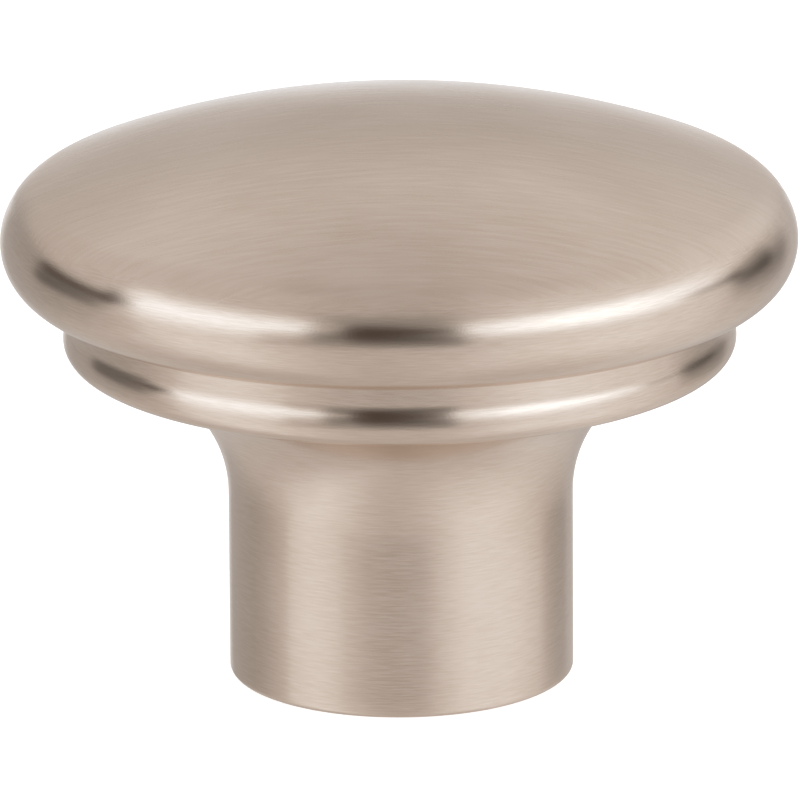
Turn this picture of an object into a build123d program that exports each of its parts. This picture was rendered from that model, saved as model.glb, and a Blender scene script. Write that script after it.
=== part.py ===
# Round cabinet knob: a domed head over a stepped ring, on a stem that flares up into the ring.
# The whole knob is one zinc die casting with a tapped blind hole in its base.
# Lengths are in millimetres. The base stands on z = 0, and z is the axis that the knob is turned about.
import os
from math import acos, degrees, radians, sqrt, tan

from build123d import *

# Stem, from the base face up to the underside of the ring
stem_diameter = 15.2
stem_height = 14.45
base_round = 0.3

# Ring, a smaller step below the head
ring_diameter = 29.6
ring_bottom_round = 0.9
ring_top_round = 2.2

# Shallow groove between the ring and the head
groove_depth = 0.15  # in from the ring's widest line
groove_round = 1.6  # hollow round from the ring's top round up to the groove's wall
head_gap = 2.0  # from the ring's widest line up to the underside of the head

# Head, a disc with a full round rim and a domed top
head_diameter = 35.0
head_bottom_round = 2.4
head_top_round = 2.75
dome_radius = 41.7

# Blind hole for the fixing screw, at the drilled size of an 8-32 thread
tapping_diameter = 3.45
tapping_depth = 11.0  # full diameter, from the base face
mouth_diameter = 4.6
mouth_angle = 90
drill_point_angle = 118

# Radii and heights that follow from the sizes above
stem_radius = stem_diameter / 2
ring_radius = ring_diameter / 2
head_radius = head_diameter / 2
flare_radius = ring_radius - ring_bottom_round - stem_radius  # the flare runs straight into the bottom round
ring_edge_height = stem_height + ring_bottom_round
head_underside = ring_edge_height + head_gap
head_edge_height = head_underside + head_bottom_round

# The ring's top round and the groove's hollow round turn through the same angle, and together reach in to the wall
ring_round_centre = ring_radius - ring_top_round
ring_round_sweep = degrees(acos(1 - groove_depth / (ring_top_round + groove_round)))

# The dome is tangent to the rim's top round, so the two centres and the point where the arcs meet are in line
rim_round_centre = head_radius - head_top_round
dome_centre_height = head_edge_height - sqrt((dome_radius - head_top_round) ** 2 - rim_round_centre**2)
rim_round_sweep = degrees(acos(rim_round_centre / (dome_radius - head_top_round)))
knob_height = dome_centre_height + dome_radius

with BuildPart() as knob:
    # The turned profile, from the middle of the base out and up to the top of the dome
    with BuildSketch(Plane.XZ):
        with BuildLine():
            base = Line((0, 0), (stem_radius, 0))
            stem = Line(base @ 1, (stem_radius, stem_height - flare_radius))
            flare = JernArc(stem @ 1, (0, 1), flare_radius, -90)
            JernArc(flare @ 1, (1, 0), ring_bottom_round, 90)
            ring_top = CenterArc((ring_round_centre, ring_edge_height), ring_top_round, 0, ring_round_sweep)
            hollow = JernArc(ring_top @ 1, ring_top % 1, groove_round, -ring_round_sweep)
            groove = Line(hollow @ 1, (ring_radius - groove_depth, head_underside))
            head_base = Line(groove @ 1, (head_radius - head_bottom_round, head_underside))
            JernArc(head_base @ 1, (1, 0), head_bottom_round, 90)
            CenterArc((rim_round_centre, head_edge_height), head_top_round, 0, rim_round_sweep)
            CenterArc((0, dome_centre_height), dome_radius, rim_round_sweep, 90 - rim_round_sweep)
            Line((0, knob_height), base @ 0)
        make_face()
    revolve(axis=Axis.Z)
    fillet(knob.edges().filter_by(GeomType.CIRCLE).group_by(Axis.Z)[0], base_round)

    # The screw hole: a countersunk mouth, the straight wall that is tapped and the point that the drill leaves
    mouth_depth = (mouth_diameter - tapping_diameter) / 2 / tan(radians(mouth_angle / 2))
    point_depth = tapping_diameter / 2 / tan(radians(drill_point_angle / 2))
    with BuildSketch(Plane.XZ):
        with BuildLine():
            Polyline(
                (0, 0),
                (mouth_diameter / 2, 0),
                (tapping_diameter / 2, mouth_depth),
                (tapping_diameter / 2, tapping_depth),
                (0, tapping_depth + point_depth),
                close=True,
            )
        make_face()
    revolve(axis=Axis.Z, mode=Mode.SUBTRACT)

knob.part.label = "knob"

os.makedirs("parts", exist_ok=True)
export_step(knob.part, "parts/knob.step")
print(f"knob {head_diameter:.1f} across, {knob_height:.2f} tall, {knob.part.volume:.0f} mm3, flare {flare_radius:.2f}")
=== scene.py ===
# Round cabinet knob in satin brushed nickel, standing on a pale table in a soft studio
# Lengths in the dictionaries are millimetres and angles are degrees, unless a note says otherwise
from math import cos, pi, radians, sin, tan

import bpy
import numpy as np
from mathutils import Matrix, Vector


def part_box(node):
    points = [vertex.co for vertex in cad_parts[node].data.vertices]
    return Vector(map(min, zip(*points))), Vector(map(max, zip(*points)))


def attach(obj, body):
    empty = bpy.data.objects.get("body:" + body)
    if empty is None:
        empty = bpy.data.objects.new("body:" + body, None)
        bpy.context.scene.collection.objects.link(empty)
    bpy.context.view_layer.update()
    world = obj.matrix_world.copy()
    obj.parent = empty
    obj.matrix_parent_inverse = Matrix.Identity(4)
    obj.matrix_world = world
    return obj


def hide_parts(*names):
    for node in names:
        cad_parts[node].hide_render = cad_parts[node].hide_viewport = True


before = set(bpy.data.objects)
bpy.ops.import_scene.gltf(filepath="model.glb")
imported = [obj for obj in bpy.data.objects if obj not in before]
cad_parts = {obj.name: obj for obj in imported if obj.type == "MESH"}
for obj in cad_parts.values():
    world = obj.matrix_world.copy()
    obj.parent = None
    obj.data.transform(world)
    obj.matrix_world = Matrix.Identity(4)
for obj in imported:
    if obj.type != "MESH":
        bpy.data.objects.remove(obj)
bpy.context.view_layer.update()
mm = 0.001
print("frame loaded")


def linearColour(hexText):
    # sRGB hex to linear red, green, blue and alpha
    srgb = np.array([int(hexText[i:i + 2], 16) for i in (1, 3, 5)]) / 255
    return (*np.where(srgb <= 0.04045, srgb / 12.92, ((srgb + 0.055) / 1.055) ** 2.4), 1.0)


def direction(azimuth, elevation):
    # Unit vector; azimuth 0 points at the camera's side (-Y) and grows towards +X
    a, e = radians(azimuth), radians(elevation)
    return Vector((sin(a) * cos(e), -cos(a) * cos(e), sin(e)))


# Small helpers for the shaders

def newMaterial(name):
    # A material with an empty node tree
    material = bpy.data.materials.new(name)
    material.use_nodes = True
    material.node_tree.nodes.clear()
    return material, material.node_tree


def addNode(tree, kind, inputs=None, **settings):
    # One node with its settings; an input that is another node's socket is linked, anything else is set
    node = tree.nodes.new(kind)
    for name, value in settings.items():
        setattr(node, name, value)
    for key, value in (inputs or {}).items():
        if isinstance(value, bpy.types.NodeSocket):
            tree.links.new(value, node.inputs[key])
        else:
            node.inputs[key].default_value = value
    return node


# Small helpers for the surfaces, which are all turned round the Z axis

def straightRun(start, end, steps, soft=0.0):
    # Points evenly along a straight line, with one more close to each end where the crease is to stay crisp
    start, end = np.array(start, float), np.array(end, float)
    share = np.linspace(0, 1, steps + 1)
    if soft:
        near = soft / np.linalg.norm(end - start)
        share = np.unique(np.concatenate([share, [near, 1 - near]]))
    return start + (end - start) * share[:, None]


def arcRun(centre, radius, fromAngle, toAngle, steps):
    # Points evenly along a circular arc in the plane of radius and height
    angle = np.radians(np.linspace(fromAngle, toAngle, steps + 1))
    return np.array(centre) + radius * np.stack([np.cos(angle), np.sin(angle)], 1)


def outlineLength(points):
    # Length along the outline up to each of its points
    return np.concatenate([[0], np.cumsum(np.linalg.norm(np.diff(points, axis=0), axis=1))])


def turnedGrid(radius, height, turn):
    # Position(row, angle) = (r cos angle, r sin angle, z), with the angle as a share of a full turn
    angle = 2 * np.pi * turn
    height = np.broadcast_to(height, radius.shape)
    return np.stack([radius * np.cos(angle), radius * np.sin(angle), height], 2)


def bandQuads(rows, around):
    # Quads between neighbouring rows of the grid, whose first point is number 1
    first = 1 + np.arange(rows - 1)[:, None] * around
    here, beside = np.arange(around), (np.arange(around) + 1) % around
    corners = [first + here, first + around + here, first + around + beside, first + beside]
    return np.stack(corners, 2).reshape(-1, 4)


def fan(pole, around, first, up):
    # Triangles from a pole to the row of points that starts at number first
    here, beside = first + np.arange(around), first + (np.arange(around) + 1) % around
    pole = np.full(around, pole)
    return np.stack([pole, here, beside] if up else [here, pole, beside], 1)


def addPiece(name, vertices, faces):
    mesh = bpy.data.meshes.new(name)
    mesh.from_pydata((vertices * mm).tolist(), [], faces)
    mesh.shade_smooth()
    piece = bpy.data.objects.new(name, mesh)
    bpy.context.scene.collection.objects.link(piece)
    return piece


# The knob

knob = {
    "stemDiameter": 15.2, "stemHeight": 14.45, "baseRound": 0.3,
    "ringDiameter": 29.6, "ringBottomRound": 0.9, "ringTopRound": 2.2,
    "grooveDepth": 0.15, "grooveRound": 1.6, "headGap": 2.0,  # shallow groove between the ring and the head
    "headBottomRound": 2.4, "headTopRound": 2.75,
    "tappingDiameter": 3.45, "tappingDepth": 11.0, "mouthDiameter": 4.6, "drillAngle": 118,
    "threadDiameter": 4.16, "threadPitch": 0.794, "threadRunOut": 1.2,
    "threadSteps": 8,  # rows of points to one turn of the thread
    "threadFlank": 1.25, "threadCrest": 0.12,  # how steep the flanks are, and the flat left on the crest
    "softEdge": 0.05,  # how far a crease's shading reaches to each side
    "around": 256,  # steps round the axis
}


def knobProfile(k, headRadius, height):
    # Radius and height of the turned outline, from the top of the dome out, down, and up into the hole.
    # Also the rows where the rim, the hole's mouth, its tapped wall and its tip start.
    stem, ring, tap = k["stemDiameter"] / 2, k["ringDiameter"] / 2, k["tappingDiameter"] / 2
    mouth = k["mouthDiameter"] / 2
    ringEdge = k["stemHeight"] + k["ringBottomRound"]
    underside = ringEdge + k["headGap"]
    headEdge = underside + k["headBottomRound"]
    # The dome is tangent to the rim's round and reaches the CAD box's top
    rimCentre, rise = headRadius - k["headTopRound"], height - headEdge
    dome = (rimCentre**2 + rise**2 - k["headTopRound"] ** 2) / (2 * (rise - k["headTopRound"]))
    rimStart = np.degrees(np.arccos(rimCentre / (dome - k["headTopRound"])))
    # The ring's top round and the groove's hollow round turn through the same angle, in to the groove's wall
    ringCentre, groove = ring - k["ringTopRound"], ring - k["grooveDepth"]
    bothRounds = k["ringTopRound"] + k["grooveRound"]
    ringEnd = np.degrees(np.arccos(1 - k["grooveDepth"] / bothRounds))
    hollowHeight = ringEdge + bothRounds * np.sin(np.radians(ringEnd))
    bottomCentre = ring - k["ringBottomRound"]
    flare = bottomCentre - stem
    mouthDepth = mouth - tap
    tipDepth = tap / np.tan(np.radians(k["drillAngle"] / 2))
    soft = k["softEdge"]
    threadRows = int(np.ceil((k["tappingDepth"] - mouthDepth) / (k["threadPitch"] / k["threadSteps"])))
    runs = [
        arcRun((0, height - dome), dome, 90, rimStart, 72),
        arcRun((rimCentre, headEdge), k["headTopRound"], rimStart, 0, 30),
        arcRun((headRadius - k["headBottomRound"], headEdge), k["headBottomRound"], 0, -90, 26),
        straightRun((headRadius - k["headBottomRound"], underside), (groove, underside), 3, soft),
        straightRun((groove, underside), (groove, hollowHeight), 4, soft),
        arcRun((groove + k["grooveRound"], hollowHeight), k["grooveRound"], 180, 180 + ringEnd, 12),
        arcRun((ringCentre, ringEdge), k["ringTopRound"], ringEnd, 0, 26),
        arcRun((bottomCentre, ringEdge), k["ringBottomRound"], 0, -90, 16),
        arcRun((bottomCentre, k["stemHeight"] - flare), flare, 90, 180, 36),
        straightRun((stem, k["stemHeight"] - flare), (stem, k["baseRound"]), 12),
        arcRun((stem - k["baseRound"], k["baseRound"]), k["baseRound"], 0, -90, 8),
        straightRun((stem - k["baseRound"], 0), (mouth, 0), 6, soft),
        straightRun((mouth, 0), (tap, mouthDepth), 3, soft),
        straightRun((tap, mouthDepth), (tap, k["tappingDepth"]), threadRows),
        straightRun((tap, k["tappingDepth"]), (0, k["tappingDepth"] + tipDepth), 5, soft),
    ]
    starts = np.cumsum([0] + [len(run) - 1 for run in runs])
    points = np.vstack([runs[0][:1]] + [run[1:] for run in runs])
    return points, {"rim": starts[1], "mouth": starts[12], "bore": starts[13], "tip": starts[14]}


def turnedKnob(name, k, points, rows):
    # In the tapped hole the radius grows by a triangle wave of z / pitch - angle / full turn, which is a
    # right-handed thread, and fades out towards the hole's bottom
    count, around = len(points), k["around"]
    turn = np.arange(around) / around
    radius, height = points[1:-1, :1], points[1:-1, 1:]
    wave = np.abs(2 * ((height / k["threadPitch"] - turn) % 1) - 1)
    groove = np.clip(k["threadFlank"] * wave - k["threadCrest"], 0, 1)
    fade = np.clip((k["tappingDepth"] - k["threadRunOut"] - height) / k["threadRunOut"], 0, 1)
    inBore = np.zeros((count, 1))
    inBore[rows["bore"]:rows["tip"]] = 1
    radius = radius + inBore[1:-1] * (k["threadDiameter"] - k["tappingDiameter"]) / 2 * groove * fade
    top, tip = [[0, 0, points[0, 1]]], [[0, 0, points[-1, 1]]]
    vertices = np.vstack([top, turnedGrid(radius, height, turn).reshape(-1, 3), tip])
    quads = bandQuads(count - 2, around)
    topFan = fan(0, around, 1, up=True)
    endFan = fan(len(vertices) - 1, around, 1 + (count - 3) * around, up=False)
    piece = addPiece(name, vertices, topFan.tolist() + quads.tolist() + endFan.tolist())
    mesh = piece.data
    # Length along the outline in millimetres, for the brushing that runs round the metal
    length = outlineLength(points)
    lengths = np.concatenate([length[:1], np.repeat(length[1:-1], around), length[-1:]])
    attribute = mesh.attributes.new("outlineLength", "FLOAT", "POINT")
    attribute.data.foreach_set("value", lengths.astype(np.float32))
    # UV: u goes once round, v is the share of the outline's length
    share = length / length[-1]
    left, right = np.arange(around) / around, np.arange(1, around + 1) / around
    row = np.arange(count - 3)[:, None] + 1
    quadU = np.broadcast_to(np.stack([left, left, right, right], 1), (count - 3, around, 4))
    quadV = np.stack([share[row], share[row + 1], share[row + 1], share[row]], 2)
    quadUv = np.stack([quadU, np.broadcast_to(quadV, quadU.shape)], 3)
    middle = (left + right) / 2
    topU, topV = np.stack([middle, left, right], 1), np.broadcast_to(share[[0, 1, 1]], (around, 3))
    endU, endV = np.stack([left, middle, right], 1), np.broadcast_to(share[[-2, -1, -2]], (around, 3))
    parts = [np.stack([topU, topV], 2), quadUv, np.stack([endU, endV], 2)]
    uv = np.vstack([part.reshape(-1, 2) for part in parts])
    mesh.uv_layers.new(name="turned").data.foreach_set("uv", uv.astype(np.float32).ravel())
    # The hole from its mouth inwards is bare cut metal, the second material
    bare = np.zeros(len(mesh.polygons), np.int32)
    bare[around + (rows["mouth"] - 1) * around:] = 1
    mesh.polygons.foreach_set("material_index", bare)
    mesh.validate()
    mesh.update()
    return piece


boxLow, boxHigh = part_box("knob")
headRadius = (boxHigh.x - boxLow.x) / 2 / mm
profile, profileRows = knobProfile(knob, headRadius, boxHigh.z / mm)
knobBody = turnedKnob("knob_body", knob, profile, profileRows)
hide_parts("knob")
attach(knobBody, "root")
print("knob surface:", len(knobBody.data.vertices), "points", len(knobBody.data.polygons), "faces")


# Satin brushed nickel plate on cast zinc. It is sanded with fine grit before plating, in straight strokes
# over the dome and round the axis everywhere else, so each highlight stays narrow along the strokes and
# smears out across them.

nickel = {
    "colour": "#E1D0C2", "deepColour": "#D7C5B5",  # plate between the strokes, and a little darker in them
    "toneRange": (0.75, 1.25),
    "roughnessSwing": 0.015, "anisotropy": 0.54,
    # The grit's own marks are about 0.03 mm wide, too fine to show, so the strokes are drawn coarser. The
    # dome is seen at a low angle, which narrows its strokes three times, and it is sanded a little coarser.
    "dome": {"length": 3.0, "width": 0.26, "depth": 0.011, "roughness": 0.265,
             "detail": 3.0, "fineness": 0.65},
    "round": {"length": 0.9, "width": 0.06, "depth": 0.0010, "roughness": 0.20,
              "detail": 1.5, "fineness": 0.55},
    "warp": 0.1,
    "grain": {"size": 0.06, "depth": 0.0011},
    "straightUpTo": 50,  # slope where the straight strokes of the dome give way to the ones round the rim
    "overlap": 2.0, "blend": 0.2,  # how raggedly they meet, and over what length
    "cloud": 6.0,
}


def brushedNickel(name, n, straightEnd):
    material, tree = newMaterial(name)
    place = addNode(tree, "ShaderNodeTexCoord").outputs["Object"]
    inMm = addNode(tree, "ShaderNodeVectorMath", {0: place, 1: (1 / mm,) * 3},
                   operation="MULTIPLY").outputs[0]
    along = addNode(tree, "ShaderNodeAttribute", attribute_name="outlineLength").outputs["Fac"]
    normal = addNode(tree, "ShaderNodeNewGeometry").outputs["Normal"]

    # Straight strokes: noise stretched along X. Its Y is squeezed to the stroke's width.
    dome, turned, grain = n["dome"], n["round"], n["grain"]
    straightSize = (1 / dome["length"], 1 / dome["width"], 0.0)
    straightPlace = addNode(tree, "ShaderNodeVectorMath", {0: inMm, 1: straightSize},
                            operation="MULTIPLY").outputs[0]
    straightNoise = addNode(tree, "ShaderNodeTexNoise",
                            {"Vector": straightPlace, "Scale": 1.0, "Detail": dome["detail"],
                             "Roughness": dome["fineness"], "Distortion": n["warp"]}).outputs["Fac"]
    # Strokes round the axis: the noise's X and Y are the place across the axis, and its Z goes along the
    # outline
    acrossSize = (1 / turned["length"], 1 / turned["length"], 0.0)
    acrossPlace = addNode(tree, "ShaderNodeVectorMath", {0: inMm, 1: acrossSize},
                          operation="MULTIPLY").outputs[0]
    across = addNode(tree, "ShaderNodeSeparateXYZ", {0: acrossPlace}).outputs
    alongStrokes = addNode(tree, "ShaderNodeMath", {0: along, 1: turned["width"]},
                           operation="DIVIDE").outputs[0]
    roundPlace = addNode(tree, "ShaderNodeCombineXYZ",
                         {0: across[0], 1: across[1], 2: alongStrokes}).outputs[0]
    roundNoise = addNode(tree, "ShaderNodeTexNoise",
                         {"Vector": roundPlace, "Scale": 1.0, "Detail": turned["detail"],
                          "Roughness": turned["fineness"], "Distortion": n["warp"]}).outputs["Fac"]
    speckle = addNode(tree, "ShaderNodeTexNoise",
                      {"Vector": inMm, "Scale": 1 / grain["size"], "Detail": 0.0}).outputs["Fac"]

    # Where the strokes run round: past the rim's start, with a border made ragged by the straight strokes
    ragged = addNode(tree, "ShaderNodeMath", {0: straightNoise, 1: 0.5}, operation="SUBTRACT").outputs[0]
    border = addNode(tree, "ShaderNodeMath", {0: ragged, 1: n["overlap"], 2: along},
                     operation="MULTIPLY_ADD").outputs[0]
    roundShare = addNode(tree, "ShaderNodeMapRange",
                         {"Value": border, "From Min": straightEnd - n["blend"],
                          "From Max": straightEnd + n["blend"]},
                         interpolation_type="SMOOTHSTEP").outputs["Result"]

    # A highlight smears across the strokes, so the tangent is the normal crossed with the stroke's direction
    circle = addNode(tree, "ShaderNodeVectorMath", {0: (0.0, 0.0, 1.0), 1: inMm},
                     operation="CROSS_PRODUCT").outputs[0]
    circleUnit = addNode(tree, "ShaderNodeVectorMath", {0: circle}, operation="NORMALIZE").outputs[0]
    fromAxis = addNode(tree, "ShaderNodeSeparateXYZ", {0: inMm}).outputs
    back = addNode(tree, "ShaderNodeMath", {0: fromAxis[1], 1: -1.0}, operation="MULTIPLY").outputs[0]
    side = addNode(tree, "ShaderNodeMath", {0: back}, operation="SIGN").outputs[0]
    circleSided = addNode(tree, "ShaderNodeVectorMath", {0: circleUnit, "Scale": side},
                          operation="SCALE").outputs[0]
    stroke = addNode(tree, "ShaderNodeMix", {0: roundShare, 4: (1.0, 0.0, 0.0), 5: circleSided},
                     data_type="VECTOR").outputs[1]
    smear = addNode(tree, "ShaderNodeVectorMath", {0: normal, 1: stroke},
                    operation="CROSS_PRODUCT").outputs[0]
    tangent = addNode(tree, "ShaderNodeVectorMath", {0: smear}, operation="NORMALIZE").outputs[0]

    # Height in millimetres: the strokes of the place, and the plate's grain on top
    straightHeight = addNode(tree, "ShaderNodeMath", {0: straightNoise, 1: dome["depth"]},
                             operation="MULTIPLY").outputs[0]
    roundHeight = addNode(tree, "ShaderNodeMath", {0: roundNoise, 1: turned["depth"]},
                          operation="MULTIPLY").outputs[0]
    strokeHeight = addNode(tree, "ShaderNodeMix", {0: roundShare, 2: straightHeight, 3: roundHeight},
                           data_type="FLOAT").outputs[0]
    height = addNode(tree, "ShaderNodeMath", {0: speckle, 1: grain["depth"], 2: strokeHeight},
                     operation="MULTIPLY_ADD").outputs[0]
    bump = addNode(tree, "ShaderNodeBump", {"Strength": 1.0, "Distance": mm, "Height": height}).outputs[0]

    strokes = addNode(tree, "ShaderNodeMix", {0: roundShare, 2: straightNoise, 3: roundNoise},
                      data_type="FLOAT").outputs[0]
    sanding = addNode(tree, "ShaderNodeMapRange",
                      {"Value": roundShare, "To Min": dome["roughness"],
                       "To Max": turned["roughness"]}).outputs["Result"]
    swing = addNode(tree, "ShaderNodeMapRange",
                    {"Value": strokes, "From Min": 0.25, "From Max": 0.75, "To Min": n["roughnessSwing"],
                     "To Max": -n["roughnessSwing"]}).outputs["Result"]
    roughness = addNode(tree, "ShaderNodeMath", {0: sanding, 1: swing}, operation="ADD").outputs[0]
    cloud = addNode(tree, "ShaderNodeTexNoise",
                    {"Vector": inMm, "Scale": 1 / n["cloud"], "Detail": 2.0}).outputs["Fac"]
    tone = addNode(tree, "ShaderNodeMath", {0: cloud, 1: strokes}, operation="ADD").outputs[0]
    toneShare = addNode(tree, "ShaderNodeMapRange",
                        {"Value": tone, "From Min": n["toneRange"][0],
                         "From Max": n["toneRange"][1]}).outputs["Result"]
    deepColour, brightColour = linearColour(n["deepColour"]), linearColour(n["colour"])
    colour = addNode(tree, "ShaderNodeMix", {0: toneShare, 6: deepColour, 7: brightColour},
                     data_type="RGBA").outputs[2]
    shader = addNode(tree, "ShaderNodeBsdfPrincipled",
                     {"Base Color": colour, "Metallic": 1.0, "Roughness": roughness,
                      "Anisotropic": n["anisotropy"], "Normal": bump, "Tangent": tangent})
    addNode(tree, "ShaderNodeOutputMaterial", {"Surface": shader.outputs[0]})
    return material


# Zinc cut by the drill and the tap after plating: greyer than the nickel, with fine rings from the tool.

zinc = {"colour": "#B9B8B5", "roughness": 0.34, "ringWidth": 0.12, "ringDepth": 0.004}


def cutZinc(name, z):
    material, tree = newMaterial(name)
    along = addNode(tree, "ShaderNodeAttribute", attribute_name="outlineLength").outputs["Fac"]
    ringInputs = {"W": along, "Scale": 1 / z["ringWidth"], "Detail": 2.0}
    rings = addNode(tree, "ShaderNodeTexNoise", ringInputs, noise_dimensions="1D").outputs["Fac"]
    bumpInputs = {"Strength": 1.0, "Distance": z["ringDepth"] * mm, "Height": rings}
    bump = addNode(tree, "ShaderNodeBump", bumpInputs).outputs[0]
    shader = addNode(tree, "ShaderNodeBsdfPrincipled",
                     {"Base Color": linearColour(z["colour"]), "Metallic": 1.0, "Roughness": z["roughness"],
                      "Normal": bump})
    addNode(tree, "ShaderNodeOutputMaterial", {"Surface": shader.outputs[0]})
    return material


# Length along the outline at which the rim's round reaches the slope where the straight strokes end
rimRow, rimRound = profileRows["rim"], knob["headTopRound"]
startSlope = np.degrees(np.arcsin((profile[rimRow, 0] - (headRadius - rimRound)) / rimRound))
straightEnd = outlineLength(profile)[rimRow] + np.radians(nickel["straightUpTo"] - startSlope) * rimRound
knobBody.data.materials.append(brushedNickel("satin_brushed_nickel_plate", nickel, straightEnd))
knobBody.data.materials.append(cutZinc("drilled_and_tapped_zinc", zinc))
print("metals ready")


# The table and the studio

table = {
    "radius": 1800.0, "innerRow": 45.0, "sweepRadius": 900.0, "around": 96, "steps": 24,
    "colour": "#F4F3F1", "roughness": 0.9, "glow": 0.62,
}


def sweptTable(name, t):
    # A flat disc whose edge curves up into a low wall: the same turned surface, seen from inside
    flat = straightRun((t["innerRow"], 0), (t["radius"], 0), t["steps"])
    sweep = arcRun((t["radius"], t["sweepRadius"]), t["sweepRadius"], -90, 0, t["steps"])[1:]
    points = np.vstack([flat, sweep])
    radius = np.broadcast_to(points[:, :1], (len(points), t["around"]))
    grid = turnedGrid(radius, points[:, 1:], np.arange(t["around"]) / t["around"])
    vertices = np.vstack([[[0, 0, 0]], grid.reshape(-1, 3)])
    quads = bandQuads(len(points), t["around"])
    return addPiece(name, vertices, fan(0, t["around"], 1, up=True).tolist() + quads.tolist())


# Matt white board, a little lit from below as on a light table, so it stays pale and the shadow stays faint
tableTop = sweptTable("table", table)
board, boardTree = newMaterial("matt_white_board")
boardShader = addNode(boardTree, "ShaderNodeBsdfPrincipled",
                      {"Base Color": linearColour(table["colour"]), "Roughness": table["roughness"],
                       "Emission Color": (1.0, 1.0, 1.0, 1.0), "Emission Strength": table["glow"]})
addNode(boardTree, "ShaderNodeOutputMaterial", {"Surface": boardShader.outputs[0]})
tableTop.data.materials.append(board)
tableTop.visible_glossy = False  # the metal mirrors the studio below the horizon instead
tableTop.visible_shadow = False

# The studio as the metal mirrors it: a white tent, a gap in it where the camera looks in, openings at both
# sides, a large softbox to the left and to the right, and the light that they throw on the table. Each patch
# has its azimuth, half width and soft edge, then its elevation, half height and soft edge, in degrees, and
# last the brightness that it adds.
studio = {
    "above": 0.54, "below": 0.60, "horizon": 0.17,  # the tent, the table, and the sine over which they blend
    "dimTint": (1.036, 0.993, 0.96), "brightTint": (0.90, 1.015, 1.13),  # warm walls and cooler lamps
    "brightFrom": 0.6, "brightTo": 1.5,
    "darkest": (0.056, 0.034, 0.022),  # the dark room behind the camera
    "patches": {
        "camera_gap": (1, 17, 3, 15, 3, 18, -1.6),
        "gap_left": (-26, 10, 2, 7, 5, 3, -0.22),
        "gap_left_low": (-28, 12, 3, -4, 9, 6, -0.32),
        "gap_roof": (-6, 24, 10, 35, 8, 7, -0.18),
        "left_softbox": (-58, 32, 3, 14, 14, 16, 0.9),
        "left_box_edge": (-88, 5, 3, 12, 8, 7, -0.9),
        "left_box_foot": (-86, 7, 3, -1, 5, 4, -0.14),
        "right_softbox": (54, 39, 35, 15, 11, 10, 1.04),
        "left_opening": (-106, 19, 4, 7, 3, 5, -0.62),
        "left_low": (-111, 16, 2, -4, 5, 4, -0.3),
        "right_opening": (121, 12, 3, 5, 9, 5, -0.29),
        "right_streak": (101, 12, 5, 6, 3, 2, -0.66),
        "right_low": (128, 18, 6, -4, 11, 12, -0.33),
        "left_pool": (-61, 27, 31, -34, 33, 30, 0.4),
        "right_pool": (56, 49, 34, -48, 31, 22, 0.09),
        "table_edge": (2, 17, 2, -3, 9, 2, -0.38),
        "left_table_end": (-121, 39, 2, -8, 22, 11, -0.15),
        "right_table_end": (139, 35, 35, -16, 23, 18, -0.34),
        "back_cloth": (181, 5, 17, -8, 5, 16, 2.4),
        "back_roof": (-174, 26, 21, 41, 7, 5, 0.25),
        "left_roof": (-94, 68, 26, 42, 29, 2, 0.12),
        "right_roof": (97, 66, 22, 4, 58, 28, 0.31),
    },
    "lampDistance": 900, "lampColour": "#FFFFFF",
    "lamps": [
        {"name": "left_lamp", "azimuth": -55, "elevation": 15, "width": 48, "height": 18, "level": 1.09},
        {"name": "right_lamp", "azimuth": 56, "elevation": 15, "width": 60, "height": 16, "level": 1.45},
    ],
}


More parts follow.
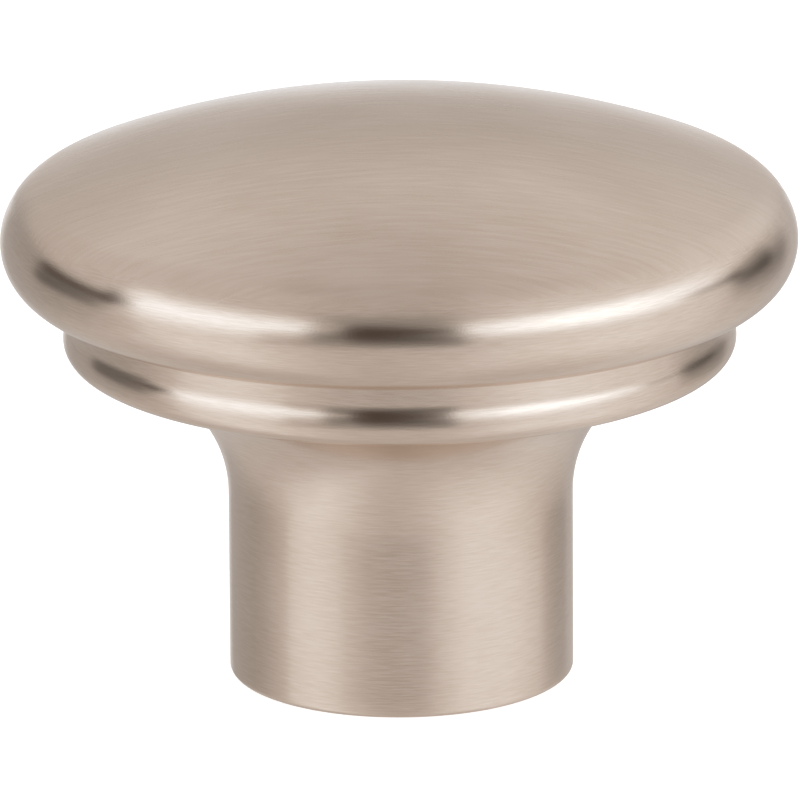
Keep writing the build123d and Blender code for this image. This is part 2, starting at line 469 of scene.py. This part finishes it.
def tentWorld(name, st):
    world = bpy.data.worlds.new(name)
    world.use_nodes = True
    tree = world.node_tree
    tree.nodes.clear()
    sky = addNode(tree, "ShaderNodeTexCoord").outputs["Generated"]
    x, y, z = addNode(tree, "ShaderNodeSeparateXYZ", {0: sky}).outputs
    towardsCamera = addNode(tree, "ShaderNodeMath", {0: y, 1: -1.0}, operation="MULTIPLY").outputs[0]
    azimuth = addNode(tree, "ShaderNodeMath", {0: x, 1: towardsCamera}, operation="ARCTAN2").outputs[0]
    elevation = addNode(tree, "ShaderNodeMath", {0: z}, operation="ARCSINE").outputs[0]
    light = addNode(tree, "ShaderNodeMapRange",
                    {"Value": z, "From Min": -st["horizon"], "From Max": st["horizon"],
                     "To Min": st["below"], "To Max": st["above"]}).outputs["Result"]
    for patch in st["patches"].values():
        # Each patch is full inside and fades smoothly across its soft edge, in azimuth and in elevation
        middle, half, edge, height, halfHeight, heightEdge = np.radians(patch[:6])
        turn = addNode(tree, "ShaderNodeMath", {0: azimuth, 1: middle}, operation="SUBTRACT").outputs[0]
        turn = addNode(tree, "ShaderNodeMath", {0: turn, 1: pi, 2: -pi}, operation="WRAP").outputs[0]
        turn = addNode(tree, "ShaderNodeMath", {0: turn}, operation="ABSOLUTE").outputs[0]
        raised = addNode(tree, "ShaderNodeMath", {0: elevation, 1: height}, operation="SUBTRACT").outputs[0]
        raised = addNode(tree, "ShaderNodeMath", {0: raised}, operation="ABSOLUTE").outputs[0]
        across = addNode(tree, "ShaderNodeMapRange",
                         {"Value": turn, "From Min": half + edge, "From Max": half - edge},
                         interpolation_type="SMOOTHSTEP").outputs["Result"]
        upright = addNode(tree, "ShaderNodeMapRange",
                          {"Value": raised, "From Min": halfHeight + heightEdge,
                           "From Max": halfHeight - heightEdge, "To Max": patch[6]},
                          interpolation_type="SMOOTHSTEP").outputs["Result"]
        light = addNode(tree, "ShaderNodeMath", {0: across, 1: upright, 2: light},
                        operation="MULTIPLY_ADD").outputs[0]
    # Tinted from the warm light of dim places to the cooler one of bright places, and never quite dark
    bright = addNode(tree, "ShaderNodeMapRange", {"Value": light, "From Min": st["brightFrom"],
                                                  "From Max": st["brightTo"]}).outputs["Result"]
    tint = addNode(tree, "ShaderNodeMix", {0: bright, 4: st["dimTint"], 5: st["brightTint"]},
                   data_type="VECTOR").outputs[1]
    tinted = addNode(tree, "ShaderNodeVectorMath", {0: tint, "Scale": light}, operation="SCALE").outputs[0]
    lightColour = addNode(tree, "ShaderNodeVectorMath", {0: tinted, 1: st["darkest"]},
                          operation="MAXIMUM").outputs[0]
    background = addNode(tree, "ShaderNodeBackground", {"Color": lightColour, "Strength": 1.0})
    addNode(tree, "ShaderNodeOutputWorld", {"Surface": background.outputs[0]})
    return world


def softboxLamp(p, distance, colour):
    # The lamp inside a softbox: a rectangle facing the knob. Its power is pi times its area times its level.
    lampData = bpy.data.lights.new(p["name"], "AREA")
    lampData.shape = "RECTANGLE"
    lampData.size = 2 * distance * mm * tan(radians(p["width"] / 2))
    lampData.size_y = 2 * distance * mm * tan(radians(p["height"] / 2))
    lampData.energy = pi * lampData.size * lampData.size_y * p["level"]
    lampData.color = linearColour(colour)[:3]
    lamp = bpy.data.objects.new(p["name"], lampData)
    lamp.location = direction(p["azimuth"], p["elevation"]) * distance * mm
    lamp.rotation_euler = (-lamp.location).to_track_quat("-Z", "Y").to_euler()
    lamp.visible_camera = False
    lamp.visible_glossy = False
    bpy.context.scene.collection.objects.link(lamp)


bpy.context.scene.world = tentWorld("tent", studio)
for lampSizes in studio["lamps"]:
    softboxLamp(lampSizes, studio["lampDistance"], studio["lampColour"])
print("studio lit")


# The camera, at the photograph's angle

view = {
    "elevation": 16.5, "distance": 525.0, "targetHeight": 14.0, "roll": -0.359,
    "sensor": 36.0, "focal": 537.2,  # for the frame's width
    "targetRight": -0.07, "targetUp": 37.22,  # where the target lies from the frame's middle, in pixels
    "frame": 800,
    "nearest": 0.01, "farthest": 20.0,  # in metres
}
cameraData = bpy.data.cameras.new("camera")
cameraData.sensor_width, cameraData.lens = view["sensor"], view["focal"]
cameraData.clip_start, cameraData.clip_end = view["nearest"], view["farthest"]
camera = bpy.data.objects.new("camera", cameraData)
bpy.context.scene.collection.objects.link(camera)
outward = direction(0, view["elevation"])
right, up = Vector((1.0, 0.0, 0.0)), outward.cross(Vector((1.0, 0.0, 0.0)))
rolledRight = cos(radians(view["roll"])) * right + sin(radians(view["roll"])) * up
rolledUp = outward.cross(rolledRight)
perPixel = view["sensor"] / view["focal"] / view["frame"]
shift = view["targetUp"] * perPixel * rolledUp + view["targetRight"] * perPixel * rolledRight
ahead = (-outward - shift).normalized()
aside = ahead.cross(rolledUp).normalized()
above = aside.cross(ahead)
turnMatrix = Matrix((aside, above, -ahead)).transposed()
place = Vector((0.0, 0.0, view["targetHeight"] * mm)) + outward * view["distance"] * mm
camera.matrix_world = Matrix.Translation(place) @ turnMatrix.to_4x4()
bpy.context.scene.camera = camera
bpy.context.scene.view_settings.view_transform = "Standard"
print("camera set")
